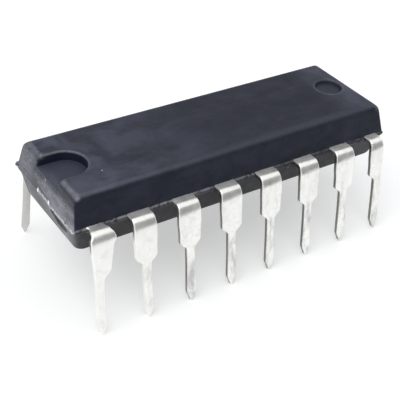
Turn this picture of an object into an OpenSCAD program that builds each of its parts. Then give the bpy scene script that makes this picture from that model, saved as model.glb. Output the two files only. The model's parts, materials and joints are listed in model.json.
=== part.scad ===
// Sixteen-lead dual in-line chip: a moulded body around a stamped lead frame,
// with a silicon die on the frame's paddle and a bond wire from the die to each lead.
// The origin is under the middle of the body, in the plane of the lead tips.
// X runs along the body with the notch at -X, Y runs across it, and Z is up.

/* [Moulded body] */
// Width of the body at the parting line
body_w = 6.4; // [6:0.05:6.8]
// Distance from a corner lead's centre line to the end face, at the parting line
end_margin = 0.81; // [0.7:0.01:1.1]
// Height of the top face above the middle of the lead frame
upper_h = 1.68; // [1.4:0.02:1.9]
// Depth of the bottom face below the middle of the lead frame
lower_h = 1.56; // [1.3:0.02:1.9]
// Draft of the long side walls, in degrees from upright
side_draft = 15; // [7:0.5:17]
// Draft of the end walls, in degrees from upright
end_draft = 10; // [5:0.5:13]
// Radius along the edges of the top and bottom faces
edge_r = 0.38; // [0.15:0.01:0.5]

/* [Notch and ejector mark] */
// Width of the notch that marks the end of lead 1
notch_w = 2.4; // [1.8:0.1:2.8]
// Reach of the notch from the end face
notch_len = 2.4; // [1.9:0.1:3]
// Depth of the notch
notch_depth = 0.55; // [0.2:0.05:0.8]
// Diameter of the ejector mark at the other end
mark_d = 1.5; // [0.8:0.1:1.9]
// Distance from the end face to the middle of the ejector mark
mark_in = 1.6; // [1.5:0.05:2.5]
// Sideways shift of the ejector mark from the body's centre line
mark_shift = 0.1; // [0:0.05:0.3]
// Depth of the ejector mark
mark_depth = 0.15; // [0.05:0.01:0.3]

/* [Leads outside the body] */
// Thickness of the lead frame's strip
lead_t = 0.28; // [0.2:0.01:0.36]
// Distance from one lead to the next along a row
lead_pitch = 2.54; // [2.3:0.01:2.8]
// Distance between the two rows, at the height of the lead frame
row_spacing = 7.62; // [7.5:0.02:8]
// Inner radius of the bend
bend_r = 0.12; // [0.05:0.01:0.15]
// Outward lean of the legs, in degrees
splay = 8; // [0:0.5:12]
// Height of the middle of the lead frame above the lead tips
lead_drop = 5.56; // [5:0.02:6.2]
// Width of a lead from the body to its shoulder
shoulder_w = 1.22; // [1:0.02:1.5]
// Width of a lead below its shoulder
lead_w = 0.51; // [0.4:0.01:0.6]
// Depth of the shoulder below the middle of the lead frame
shoulder_drop = 2.01; // [1.8:0.01:2.4]
// Height of the slope from the shoulder to the narrow part
shoulder_slope = 0.3; // [0.1:0.02:0.5]
// Width of the flat at the tip
tip_w = 0.18; // [0.1:0.01:0.3]
// Length of the pointed end
tip_len = 0.55; // [0.3:0.05:1]
// How far the stub of the cut tie between two leads stands out
stub_out = 0.1; // [0.02:0.01:0.2]
// Depth of the stub's upper end below the middle of the lead frame
stub_top = 0.15; // [0.05:0.01:0.3]
// Length of the stub down the leg
stub_len = 0.95; // [0.6:0.05:1.2]

/* [Lead frame inside the body] */
// Length of the paddle that carries the die
paddle_len = 4.4; // [4:0.1:5.2]
// Width of the paddle
paddle_w = 2.8; // [2.4:0.1:3]
// Width of the arms that held the paddle in the strip
arm_w = 0.6; // [0.4:0.05:0.7]
// Width of an arm's outer end, where it was cut off at the end face
arm_end_w = 1.3; // [0.8:0.05:1.5]
// Length of an arm's wide outer end
arm_end_len = 1.7; // [1:0.1:1.9]
// Sideways shift of the wide outer end
arm_end_shift = 0.2; // [0:0.05:0.3]
// How far the cut end stands out of the end face
arm_proud = 0.03; // [0:0.01:0.1]
// Gap between the fingers, and from a finger to the paddle
finger_gap = 0.25; // [0.2:0.01:0.3]
// Width of a finger on its way in
finger_w = 0.44; // [0.35:0.01:0.5]
// Width of a finger at its tip
finger_tip_w = 0.3; // [0.22:0.01:0.36]
// Spacing of the finger tips along the paddle's long sides
finger_tip_pitch = 1.2; // [0.9:0.05:1.35]
// Length of the straight end of a finger
finger_tip_len = 0.35; // [0.25:0.05:0.45]
// Distance inside the wall at which a lead narrows to its finger
finger_neck = 0.35; // [0.2:0.05:0.4]
// Distance inside the wall at which a finger turns towards the paddle
finger_turn = 0.9; // [0.75:0.05:1]

/* [Die and bonding] */
// Length of the silicon die
die_len = 2.6; // [2:0.1:3.4]
// Width of the silicon die
die_w = 1.9; // [1.5:0.1:2.2]
// Thickness of the silicon die
die_t = 0.28; // [0.2:0.01:0.4]
// Thickness of the adhesive under the die
attach_t = 0.03; // [0.02:0.01:0.06]
// How far the adhesive shows around the die
attach_rim = 0.1; // [0.02:0.02:0.2]
// Distance from the die's edge to the middle of a bond pad
pad_in = 0.12; // [0.08:0.01:0.2]
// Diameter of a bond wire
wire_d = 0.03; // [0.02:0.005:0.035]
// Diameter of the ball that joins a wire to the die, and of the stitch on the finger
ball_d = 0.08; // [0.06:0.01:0.12]
// Height of that ball, and of the stitch at the wire's other end
ball_h = 0.035; // [0.03:0.005:0.05]
// Rise of a bond wire above a straight line from the die to its finger
wire_rise = 0.25; // [0.15:0.01:0.4]

/* [Hidden] */
row_leads = 8;
lead_count = 2 * row_leads;
quarter_leads = row_leads / 2;
body_len = (row_leads - 1) * lead_pitch + 2 * end_margin;
notch_r = notch_w / 2;
wall_y = body_w / 2;
mid_bend_r = bend_r + lead_t / 2;
paddle_x = paddle_len / 2;
paddle_y = paddle_w / 2;
frame_top = lead_t / 2;
die_base = frame_top + attach_t;
die_top = die_base + die_t;
// Spacing of the bond pads along the long sides of the die, and along its short sides
pad_pitch_x = 0.22 * die_len;
pad_pitch_y = 0.2 * die_w;
// The slope at the two ends of a stub
stub_slope = stub_out;
// Length of strip that the inner plate and the outer strip of a lead share
lead_overlap = 0.1;
// Reach of a cutting shape past the face that it opens
past = 1;
round_fn = 64;
wire_sides = 6;
wire_rings = 9;

// Place of a lead along its row, counted from the notch end, 0 to row_leads - 1
function place(n) = n <= row_leads ? n - 1 : lead_count - n;
// Steps in from the nearest corner, 0 for a corner lead
function step_in(n) = min(place(n), row_leads - 1 - place(n));
// Distance of a lead's centre line from the middle of the body
function lead_x(k) = (quarter_leads - k - 0.5) * lead_pitch;
// Half the width of a lead's outer side, which has no shoulder at a corner
function outer_half(k) = k == 0 ? lead_w / 2 : shoulder_w / 2;

// Draws a shape, modelled for the quarter at +X +Y, in the quarter of lead n
module in_quarter(n)
    mirror([place(n) < quarter_leads ? 1 : 0, 0, 0])
        mirror([0, n <= row_leads ? 1 : 0, 0])
            children();

// Section of one half of the body, from the frame's middle at y = 0 to the face at y = h
module drafted_section(half_width, h, draft) {
    from_mid = half_width - (edge_r + (h - edge_r) * sin(draft)) / cos(draft);
    side = [from_mid + edge_r * cos(draft), h - edge_r + edge_r * sin(draft)];
    union() {
        polygon([
            [-half_width, 0], [half_width, 0], side, [from_mid, h],
            [-from_mid, h], [-side[0], side[1]]
        ]);
        for (s = [-1, 1])
            translate([s * from_mid, h - edge_r])
                circle(r = edge_r, $fn = round_fn);
    }
}

// One half of the moulding, with the same edge radius on all four sides
module moulded_half(h)
    intersection() {
        rotate([90, 0, 0])
            linear_extrude(body_w + 2 * past, center = true)
                drafted_section(body_len / 2, h, end_draft);
        rotate([90, 0, 90])
            linear_extrude(body_len + 2 * past, center = true)
                drafted_section(wall_y, h, side_draft);
    }

// The notch: half round inside, straight sides out through the end face
module notch_cut()
    translate([-body_len / 2 + notch_len - notch_r, 0, upper_h - notch_depth]) {
        cylinder(r = notch_r, h = notch_depth + past, $fn = round_fn);
        translate([-notch_len - past, -notch_r, 0])
            cube([notch_len + past, notch_w, notch_depth + past]);
    }

module ejector_mark_cut()
    translate([body_len / 2 - mark_in, mark_shift, upper_h - mark_depth])
        cylinder(d = mark_d, h = mark_depth + past, $fn = round_fn);

// Stops along a finger's plan, from the wall to the tip: the middle of the strip there,
// and its half widths to the left and to the right
function finger_stops(k) =
    let (
        x = lead_x(k),
        turn_y = wall_y - finger_turn,
        long_tip = [(quarter_leads - k - 0.5) * finger_tip_pitch, paddle_y + finger_gap],
        short_step = finger_tip_w + finger_gap,
        short_tip = [paddle_x + finger_gap, (arm_w - finger_tip_w) / 2 + (k + 1) * short_step],
        to_long_side = k >= 2,
        tip = to_long_side ? long_tip : short_tip,
        back = to_long_side ? [0, finger_tip_len] : [finger_tip_len, 0],
        w = finger_w / 2,
        w_tip = finger_tip_w / 2,
        // A lead that goes to a short side runs past its neighbour's finger on the way
        pass = to_long_side ? [] : [
            [[x - (2 - k) * finger_turn, tip[1] + finger_w], w, w]
        ]
    )
    concat(
        [
            [[x, wall_y], shoulder_w / 2, outer_half(k)],
            [[x, wall_y - finger_neck], shoulder_w / 2, outer_half(k)],
            [[x, wall_y - finger_neck - finger_w / 2], w, w],
            [[x, turn_y - (k == 0 ? finger_w : 0)], w, w]
        ],
        pass,
        [[tip + back, w_tip, w_tip], [tip, w_tip, w_tip]]
    );

function unit(v) = v / norm(v);
// Direction to the right of a route at stop i, halfway between its two stretches
function right_of(stops, i) =
    let (
        before = stops[max(i, 1)][0] - stops[max(i, 1) - 1][0],
        after = stops[min(i + 1, len(stops) - 1)][0] - stops[min(i, len(stops) - 2)][0],
        d = unit(unit(before) + unit(after)),
        mitre = 1 / max(0.5, d * unit(after))
    )
    [-d[1], d[0]] * mitre;

// Outline of a flat strip along its stops
function strip_outline(stops) =
    let (last = len(stops) - 1)
    concat(
        [for (i = [0:last]) stops[i][0] + right_of(stops, i) * stops[i][2]],
        [for (i = [last:-1:0]) stops[i][0] - right_of(stops, i) * stops[i][1]]
    );

// The part of a lead that is inside the body, from its wall to the finger tip
module finger_plate(k)
    linear_extrude(lead_t, center = true)
        polygon(strip_outline(finger_stops(k)));

// The strip outside the body, as wide as w, drawn from the middle of its bend:
// the flat towards the body, the bend, and the leaning leg
module formed_strip(w) {
    bend_y = row_spacing / 2 - mid_bend_r * (1 - sin(splay)) / cos(splay);
    flat_len = bend_y - wall_y + lead_overlap;
    leg_end = lead_drop / cos(splay) + past;
    rotate([90, 0, 90])
        translate([bend_y, -mid_bend_r, -w / 2])
            union() {
                translate([-flat_len, bend_r, 0])
                    cube([flat_len, lead_t, w]);
                rotate(splay) {
                    rotate_extrude(angle = 90 - splay, $fn = round_fn)
                        translate([bend_r, 0])
                            square([lead_t, w]);
                    translate([bend_r, -leg_end, 0])
                        cube([lead_t, leg_end, w]);
                }
            }
}

// Steps of one side of the leg in front view, from the top down, as half width and height
function side_steps(half) = [
    [half, lead_t],
    [half, -stub_top],
    [half + stub_out, -stub_top - stub_slope],
    [half + stub_out, -stub_top - stub_len],
    [half, -stub_top - stub_len - stub_slope],
    [half, -shoulder_drop],
    [lead_w / 2, -shoulder_drop - shoulder_slope],
    [lead_w / 2, -lead_drop + tip_len],
    [tip_w / 2, -lead_drop]
];

// Front view of a lead outside the body
module leg_front(k) {
    outer = side_steps(outer_half(k));
    inner = side_steps(shoulder_w / 2);
    polygon(concat(
        outer,
        [for (i = [len(inner) - 1:-1:0]) [-inner[i][0], inner[i][1]]]
    ));
}

module formed_leg(k)
    intersection() {
        formed_strip(2 * shoulder_w);
        rotate([90, 0, 0])
            linear_extrude(row_spacing + 2 * lead_drop, center = true)
                leg_front(k);
    }

// Where a bond wire starts on the die, and where it ends on its finger
function wire_start(k) =
    k >= 2
        ? [(quarter_leads - k - 0.5) * pad_pitch_x, die_w / 2 - pad_in, die_top]
        : [die_len / 2 - pad_in, (k + 1) * pad_pitch_y, die_top];
function wire_foot(k) =
    let (stops = finger_stops(k), last = len(stops) - 1)
    concat((stops[last][0] + stops[last - 1][0]) / 2, [frame_top]);

// A bond wire: a ball on the die, an arch of upright rings, and a flat stitch on the finger
module wire_shape(k) {
    lift = [0, 0, ball_h / 2];
    a = wire_start(k) + lift;
    b = wire_foot(k) + lift;
    across = unit(cross([0, 0, 1], b - a));
    ring = [for (j = [0:wire_sides - 1])
        wire_d / 2 * (cos(360 * j / wire_sides) * across + [0, 0, sin(360 * j / wire_sides)])];
    points = [for (i = [0:wire_rings - 1]) let (t = i / (wire_rings - 1))
        for (p = ring) a + (b - a) * t + [0, 0, 4 * wire_rise * t * (1 - t)] + p];
    last = (wire_rings - 1) * wire_sides;
    faces = concat(
        [[for (j = [0:wire_sides - 1]) j]],
        [for (i = [0:wire_rings - 2]) for (j = [0:wire_sides - 1])
            let (next = (j + 1) % wire_sides, base = i * wire_sides)
            [base + next, base + j, base + wire_sides + j, base + wire_sides + next]],
        [[for (j = [wire_sides - 1:-1:0]) last + j]]
    );
    polyhedron(points, faces);
    translate(wire_start(k))
        cylinder(d = ball_d, h = ball_h, $fn = 8);
    translate(wire_foot(k))
        cylinder(d = ball_d, h = ball_h, $fn = 8);
}

module at_frame_height()
    translate([0, 0, lead_drop])
        children();

module paddle_shape()
    linear_extrude(lead_t, center = true)
        union() {
            square([paddle_len, paddle_w], center = true);
            for (s = [-1, 1]) {
                reach = body_len / 2 + arm_proud;
                translate([s > 0 ? 0 : -reach + arm_proud, -arm_w / 2])
                    square([body_len / 2, arm_w]);
                translate([s > 0 ? reach - arm_end_len : -reach, arm_end_shift - arm_end_w / 2])
                    square([arm_end_len, arm_end_w]);
            }
        }

module attach_shape()
    translate([0, 0, frame_top + attach_t / 2])
        cube([die_len + 2 * attach_rim, die_w + 2 * attach_rim, attach_t], center = true);

module die_shape()
    translate([0, 0, die_base + die_t / 2])
        cube([die_len, die_w, die_t], center = true);

// The moulding compound, which fills the space around everything inside it
module body()
    color([0.25, 0.26, 0.29])
        at_frame_height()
            difference() {
                union() {
                    moulded_half(upper_h);
                    mirror([0, 0, 1])
                        moulded_half(lower_h);
                }
                notch_cut();
                ejector_mark_cut();
                paddle_shape();
                attach_shape();
                die_shape();
                for (n = [1:lead_count])
                    in_quarter(n) {
                        finger_plate(step_in(n));
                        wire_shape(step_in(n));
                    }
            }

module die_paddle()
    color([0.6, 0.6, 0.58])
        at_frame_height()
            paddle_shape();

module die_attach()
    color([0.75, 0.75, 0.73])
        at_frame_height()
            attach_shape();

module die()
    color([0.35, 0.36, 0.45])
        at_frame_height()
            die_shape();

module lead(n)
    color([0.86, 0.86, 0.83])
        at_frame_height()
            in_quarter(n) {
                finger_plate(step_in(n));
                translate([lead_x(step_in(n)), 0, 0])
                    formed_leg(step_in(n));
            }

module bond_wire(n)
    color([0.95, 0.8, 0.35])
        at_frame_height()
            in_quarter(n)
                wire_shape(step_in(n));

body();
die_paddle();
die_attach();
die();
for (n = [1:lead_count]) {
    lead(n);
    bond_wire(n);
}
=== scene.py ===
# %% [markdown]
# # A sixteen-lead dual in-line chip
#
# The object is a small electronic part: a dark moulded body 19 mm long with a half-round
# notch at one end, and eight flat tinned leads down each side. Its solids come from the
# imported CAD model. This lesson gives them their looks: a body with moulding flash, a
# scuffed end and soft edges, with painted light, painted highlights and painted shade in its
# colour, leads with a mottled tin finish, and materials for the pieces that the moulding hides.
#
# Everything is worked out in millimetres, with z = 0 at the middle of the lead frame,
# because that is where the two halves of the mould met. The last step of each piece turns
# that into metres above the floor.

# %% Load the imported chip
import json

import bpy
import numpy as np
from mathutils import Matrix, Vector
from mathutils.geometry import tessellate_polygon

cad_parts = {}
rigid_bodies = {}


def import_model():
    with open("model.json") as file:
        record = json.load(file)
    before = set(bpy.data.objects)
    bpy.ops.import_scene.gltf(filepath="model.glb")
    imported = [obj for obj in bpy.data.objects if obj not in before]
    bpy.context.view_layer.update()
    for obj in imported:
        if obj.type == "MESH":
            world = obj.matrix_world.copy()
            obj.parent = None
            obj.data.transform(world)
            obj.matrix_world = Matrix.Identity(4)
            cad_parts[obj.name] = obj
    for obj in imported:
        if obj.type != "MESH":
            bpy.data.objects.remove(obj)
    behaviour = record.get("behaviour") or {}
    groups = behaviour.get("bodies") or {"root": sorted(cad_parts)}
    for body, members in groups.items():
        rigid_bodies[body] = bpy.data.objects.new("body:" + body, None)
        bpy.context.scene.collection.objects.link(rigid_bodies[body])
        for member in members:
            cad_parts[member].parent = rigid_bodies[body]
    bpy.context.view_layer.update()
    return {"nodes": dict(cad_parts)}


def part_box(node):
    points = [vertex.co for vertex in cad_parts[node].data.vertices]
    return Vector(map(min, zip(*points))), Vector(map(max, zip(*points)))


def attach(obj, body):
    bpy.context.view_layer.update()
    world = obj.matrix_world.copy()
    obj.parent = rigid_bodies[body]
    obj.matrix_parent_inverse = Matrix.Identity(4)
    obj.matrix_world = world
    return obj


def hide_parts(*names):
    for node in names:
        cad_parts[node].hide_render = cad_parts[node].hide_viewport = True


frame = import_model()

# %% [markdown]
# ## Sizes
#
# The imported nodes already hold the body's length, width and height, and the height of the
# lead frame, so those are read from them. The drafts and radii are on no box, so they are
# written here. Most repeat the part's source. The notch and its end are a little tighter
# than there, as the real one's are.

# %% Sizes of the body
MM = 0.001
body_low, body_high = (np.array(c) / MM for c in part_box("body"))
paddle_low, paddle_high = (np.array(c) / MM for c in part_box("die_paddle"))
FRAME_Z = (paddle_low[2] + paddle_high[2]) / 2
LEAD_T = paddle_high[2] - paddle_low[2]
HALF_LEN = body_high[0]
HALF_WIDTH = body_high[1]
UPPER_H = body_high[2] - FRAME_Z
LOWER_H = FRAME_Z - body_low[2]
SIDE_DRAFT, END_DRAFT = np.radians(15), np.radians(10)
EDGE_R = 0.38
# Above the parting line the notch end is steeper and crisper, and stands out a little
NOTCH_END_DRAFT, NOTCH_END_EDGE_R, NOTCH_END_OUT = np.radians(8), 0.34, 0.06
NOTCH_R, NOTCH_X, NOTCH_DEPTH = 1.1, -8.6, 0.55
NOTCH_FLOOR = UPPER_H - NOTCH_DEPTH
MARK_X, MARK_Y, MARK_DEPTH = 8.1, 0.1, 0.15
sizes = {"half length": HALF_LEN, "half width": HALF_WIDTH, "upper": UPPER_H, "lower": LOWER_H}
print({name: round(float(size), 3) for name, size in sizes.items()})


# %% [markdown]
# ## From arrays to a mesh
#
# Each piece is a grid: rings of points that follow one another. Writing one helper that
# joins ring to ring, and one that puts the result into a mesh, keeps the pieces short.
# A mesh could also be grown with Blender's own tools, but a grid says in one line of
# arithmetic where each point is.

# %% Helpers for grids
def band(rings, count, closed=True):
    """Quads that join neighbouring rings of count points: ring i, point j to ring i + 1, point j + 1."""
    j = np.arange(count if closed else count - 1)
    base = np.arange(rings - 1)[:, None] * count
    corners = [base + j, base + (j + 1) % count, base + count + (j + 1) % count, base + count + j]
    return np.stack(corners, axis=-1).reshape(-1, 4).tolist()


def unit(vectors):
    """Each row made one long."""
    return vectors / np.linalg.norm(vectors, axis=1)[:, None]


def volume_of(points, faces):
    """Signed volume: a sixth of the sum, over each face's fan of triangles, of a . (b x c)."""
    fans = np.array([(f[0], f[i], f[i + 1]) for f in faces for i in range(1, len(f) - 1)])
    a, b, c = points[fans[:, 0]], points[fans[:, 1]], points[fans[:, 2]]
    return float((a * np.cross(b, c)).sum() / 6)


def add(name, data):
    """A new object in the scene: a mesh, a lamp or a camera."""
    thing = bpy.data.objects.new(name, data)
    bpy.context.scene.collection.objects.link(thing)
    return thing


def make_piece(name, points, faces, sharp=35):
    """A mesh object from points in millimetres about the lead frame. Faces are turned outwards."""
    points = np.asarray(points, float)
    volume = volume_of(points, faces)
    if volume < 0:
        faces = [f[::-1] for f in faces]
    mesh = bpy.data.meshes.new(name)
    mesh.from_pydata(((points + [0, 0, FRAME_Z]) * MM).tolist(), [], faces)
    mesh.update()
    mesh.polygons.foreach_set("use_smooth", np.ones(len(faces), bool))
    mesh.set_sharp_from_angle(angle=np.radians(sharp))
    print(f"{name}: {len(points)} points, {len(faces)} faces, {abs(volume):.2f} mm3")
    return add(name, mesh)


def point_values(piece, name, values):
    """Keeps one number for each point of a piece, for its material to read."""
    layer = piece.data.attributes.new(name, "FLOAT", "POINT")
    layer.data.foreach_set("value", np.asarray(values, np.float32))


def wander(s, step, seed):
    """Smooth random numbers along s: a random value at each step, joined by a raised cosine."""
    rng = np.random.default_rng(seed)
    knots = rng.uniform(-1, 1, int(np.ptp(s) / step) + 3)
    t = (s - s.min()) / step
    i = t.astype(int)
    f = (1 - np.cos(np.pi * (t - i))) / 2
    return knots[i] * (1 - f) + knots[i + 1] * f


# %% [markdown]
# ## The moulded body
#
# The real body is epoxy pressed round the lead frame in a steel mould of two halves. The
# walls lean in towards both faces so that it drops out, the long edges are soft, and the
# end that the chip is numbered from has a half-round notch. It could be cut from a block
# with Booleans, but those leave hard rims. Here it is a stack of rings instead: each ring
# is the body's outline at one height, so a rounded edge is only a few rings close together.

# %% How far in the wall stands at each height
def wall_in(z, draft, edge_r):
    """Inset of the wall at height z. Below the edge it is |z| tan(draft). Then it follows an
    arc of radius edge_r that ends level with the face: centre - sqrt(r^2 - (|z| - h + r)^2)."""
    h = UPPER_H if z > 0 else LOWER_H
    z = abs(z)
    centre = (edge_r + (h - edge_r) * np.sin(draft)) / np.cos(draft)
    if z <= h - edge_r + edge_r * np.sin(draft):
        return z * np.tan(draft)
    return centre - np.sqrt(max(edge_r ** 2 - (z - h + edge_r) ** 2, 0))


def corner_radius(z):
    """The upright corners: crisp in the upper half of the mould, rounder in the lower one."""
    return np.interp(z, [-LOWER_H, -0.2, 0.02, UPPER_H - 0.4, UPPER_H], [0.42, 0.32, 0.12, 0.12, 0.2])


# %% The outline of the body at one height
def run(start, stop, n):
    """n points in a straight line from start towards stop, without stop itself."""
    t = np.arange(n)[:, None] / n
    return np.array(start) * (1 - t) + np.array(stop) * t


def bow(centre, r, start, stop, n):
    """n points of a circle from one angle in degrees towards another, without the last."""
    a = np.radians(start + (stop - start) * np.arange(n) / n)
    return np.stack([centre[0] + r * np.cos(a), centre[1] + r * np.sin(a)], axis=1)


MOUTH_R = 0.16


def notch_line(left, half, open_by):
    """The part of the outline at the notch. The notch's own path goes round the mouth's corner,
    in along a straight side, round half a circle and out again. The closed path is the plain end
    line, its points at the same share of the way. open_by mixes the two, from 0 to 1."""
    corner = -left + MOUTH_R
    path = np.concatenate([
        bow([corner, half + MOUTH_R], MOUTH_R, 180, 270, 6),
        run([corner, half], [NOTCH_X, half], 12),
        bow([NOTCH_X, 0], half, 90, -90, 48),
        run([NOTCH_X, -half], [corner, -half], 12),
        bow([corner, -half - MOUTH_R], MOUTH_R, 90, 180, 6),
    ])
    steps = np.linalg.norm(np.diff(path, axis=0, append=[[-left, -half - MOUTH_R]]), axis=1)
    share = np.concatenate([[0], np.cumsum(steps)[:-1]]) / steps.sum()
    plain = np.stack([np.full(len(path), -left), (half + MOUTH_R) * (1 - 2 * share)], axis=1)
    return plain * (1 - open_by) + path * open_by


def body_outline(z, notch_half=NOTCH_R, open_by=0.0):
    """One turn round the body at height z, anticlockwise from above: front, right end, back,
    and the notch end with its notch."""
    if z > 0:
        left = HALF_LEN - wall_in(z, NOTCH_END_DRAFT, NOTCH_END_EDGE_R)
    else:
        left = HALF_LEN - wall_in(z, END_DRAFT, EDGE_R)
    right = HALF_LEN - wall_in(z, END_DRAFT, EDGE_R)
    side = HALF_WIDTH - wall_in(z, SIDE_DRAFT, EDGE_R)
    r = corner_radius(z)
    mouth = notch_half + MOUTH_R
    return np.concatenate([
        run([-left + r, -side], [right - r, -side], 200),
        bow([right - r, -side + r], r, -90, 0, 8),
        run([right, -side + r], [right, side - r], 64),
        bow([right - r, side - r], r, 0, 90, 8),
        run([right - r, side], [-left + r, side], 200),
        bow([-left + r, side - r], r, 90, 180, 8),
        run([-left, side - r], [-left, mouth], 24),
        notch_line(left, notch_half, open_by),
        run([-left, -mouth], [-left, -side + r], 24),
        bow([-left + r, -side + r], r, 180, 270, 8),
    ])


def outward(outline):
    """Unit vectors out of a closed anticlockwise outline, each square to the chord between the
    point's two neighbours."""
    chord = np.roll(outline, -1, axis=0) - np.roll(outline, 1, axis=0)
    return unit(np.stack([chord[:, 1], -chord[:, 0]], axis=1))


def on_side(outline):
    """True where an outline faces the front or the back."""
    return np.abs(outward(outline)[:, 1]) > 0.7


print("points in one outline:", len(body_outline(0.0)))

# %% [markdown]
# ### Flash on the parting line
#
# Where the two halves of a mould meet, a little epoxy squeezes out. On this chip the gaps
# between the leads keep a thin ragged ledge, and the notch end keeps a sharp ridge near one
# corner and a small lump at the other. A displacement texture could roughen the wall, but the
# ledge has a clear top and bottom, so it is drawn: a few rings stand out by an amount that
# wanders along the outline.

# %% The ledge and the ridge
LUMP, LUMP_SIZE, LUMP_REACH = np.array([-HALF_LEN, HALF_WIDTH - 0.05]), 0.15, 0.17
# Each profile: heights, and how far it stands out there
LEDGE_PROFILE = [-0.13, -0.11, 0.09, 0.11, 0.16, 0.24], [0, 0.07, 0.06, -0.01, -0.03, 0]
RIDGE_PROFILE = [-0.18, -0.13, -0.06, 0.1], [0, 0.9, 1, 0]
LUMP_PROFILE = [0.0, 0.09, 0.16, 0.24, 0.32], [0, 0.5, 1, 0.9, 0]
END_FLASH, CORNER_RIDGE = 0.01, 0.08


def flash(outline, z):
    """How far the parting line stands out at height z: a profile of heights times a ragged amount
    along the outline. The lump is a hill of its own, exp(-(distance / reach)^4)."""
    s = np.concatenate([[0], np.cumsum(np.linalg.norm(np.diff(outline, axis=0), axis=1))])
    ragged = 0.6 + 0.4 * wander(s, 0.22, 3) + 0.25 * wander(s, 0.07, 4)
    at_notch_end = outline[:, 0] < -HALF_LEN + 0.1
    near_corner = np.clip((-0.35 - outline[:, 1]) / 0.2, 0, 1)
    end = np.interp(z, *RIDGE_PROFILE) * (END_FLASH + CORNER_RIDGE * near_corner * at_notch_end)
    from_lump = np.linalg.norm(outline - LUMP, axis=1)
    lump = LUMP_SIZE * np.exp(-(from_lump / LUMP_REACH) ** 4) * np.interp(z, *LUMP_PROFILE)
    return ragged * np.where(on_side(outline), np.interp(z, *LEDGE_PROFILE), end) + lump


print("the ledge stands out by", LEDGE_PROFILE[1][1], "mm at most before it is made ragged")

# %% [markdown]
# ### A gouge in the notch end
#
# Below the ridge someone's tool has scraped the end face. The scrape is a shallow trough
# along a bent line, so its depth is a smooth function of the distance to that line.

# %% The gouge
# Each column: place along y, middle height, half height
GOUGE = np.array([[-2.15, -1.95, -1.8, -1.4, -1.0, -0.7, -0.45, -0.3],
                  [-0.62, -0.66, -0.68, -0.69, -0.64, -0.57, -0.54, -0.54],
                  [0.0, 0.14, 0.22, 0.35, 0.33, 0.24, 0.15, 0.0]])
GOUGE_DEPTH = 0.1


def gouge(points):
    """0 to 1 on the notch end: (1 - u^4)^0.8, with u the distance from the gouge's middle line over
    its half height. A small sine along y makes its rim uneven."""
    y, z = points[:, 1], points[:, 2]
    middle, half = np.interp(y, GOUGE[0], GOUGE[1]), np.interp(y, GOUGE[0], GOUGE[2])
    u = np.abs(z - middle) / np.maximum(half + 0.012 * np.sin(23 * y) * (half > 0.05), 1e-6)
    return (points[:, 0] < -HALF_LEN + 0.6) * np.clip(1 - u ** 4, 0, 1) ** 0.8


# %% Stack the rings of the body
RIM_R = 0.11


def edge_levels(h, draft, edge_r, n):
    """Heights of n rings evenly spaced round the arc of an edge, from the wall to the face."""
    a = np.linspace(draft, np.pi / 2, n)
    return h - edge_r + edge_r * np.sin(a)


def half_notch(z):
    """Half the notch's width near its rim, which is rounded: it opens by r - sqrt(r^2 - rise^2)."""
    rise = max(z - UPPER_H + RIM_R, 0)
    return NOTCH_R + RIM_R - np.sqrt(RIM_R ** 2 - rise ** 2)


lower = -edge_levels(LOWER_H, END_DRAFT, EDGE_R, 8)[::-1]
at_parting = [-0.17, -0.13, -0.11, -0.07, -0.02, 0.02, 0.06, 0.09, 0.11, 0.16, 0.24, 0.32, 0.5, 0.8]
under_notch = NOTCH_FLOOR - np.array([0.2, 0.17, 0.14, 0.11, 0.08, 0.04])
middle = np.concatenate([[-1.14, -1.0], np.arange(-0.94, -0.2, 0.045), at_parting, under_notch])
upper = np.unique(np.concatenate([
    np.linspace(NOTCH_FLOOR + 0.07, UPPER_H - EDGE_R, 3),
    edge_levels(UPPER_H, END_DRAFT, EDGE_R, 12)[1:],
    UPPER_H - RIM_R + RIM_R * np.sin(np.radians([0, 25, 50, 75])),
]))

# Each level: height, half the notch's width, and how far the notch is open there
levels = [(z, NOTCH_R, 0.0) for z in np.concatenate([lower, middle])]
levels += [(NOTCH_FLOOR + 0.002 * i, NOTCH_R - 0.01, s) for i, s in enumerate(np.linspace(0, 1, 8))]
levels += [(NOTCH_FLOOR + 0.03, NOTCH_R - 0.003, 1.0)]
levels += [(z, half_notch(z), 1.0) for z in upper]

rings = []
for z, half, open_by in levels:
    outline = body_outline(z, half, open_by)
    if abs(z) < 0.3:
        outline = outline + flash(outline, z)[:, None] * outward(outline)
    rings.append(np.column_stack([outline, np.full(len(outline), z)]))
count = len(rings[0])
print("rings:", len(rings), "of", count, "points")

# %% [markdown]
# ### The two faces, and the ejector mark
#
# The top face is flat, with a shallow round dish where a pin of the mould pushed the body out:
# the ejector mark. A ring just inside each edge keeps the shading of the flat face clean. The
# mark is turned like a bowl: a profile of radius and height carried round its own centre. The
# face round it is then filled with triangles. Last, the wall of the notch end is scraped by
# the gouge and moved to where its half of the mould stood.

# %% Close the body
def inner_ring(ring, step):
    """The same ring moved in by step, as a support for the shading of the flat face."""
    return np.column_stack([ring[:, :2] - step * outward(ring), ring[:, 2]])


rings = [inner_ring(rings[0], 0.06)] + rings + [inner_ring(rings[-1], 0.05)]
faces = band(len(rings), count)
faces.append(list(range(count))[::-1])
points = np.concatenate(rings)

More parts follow.
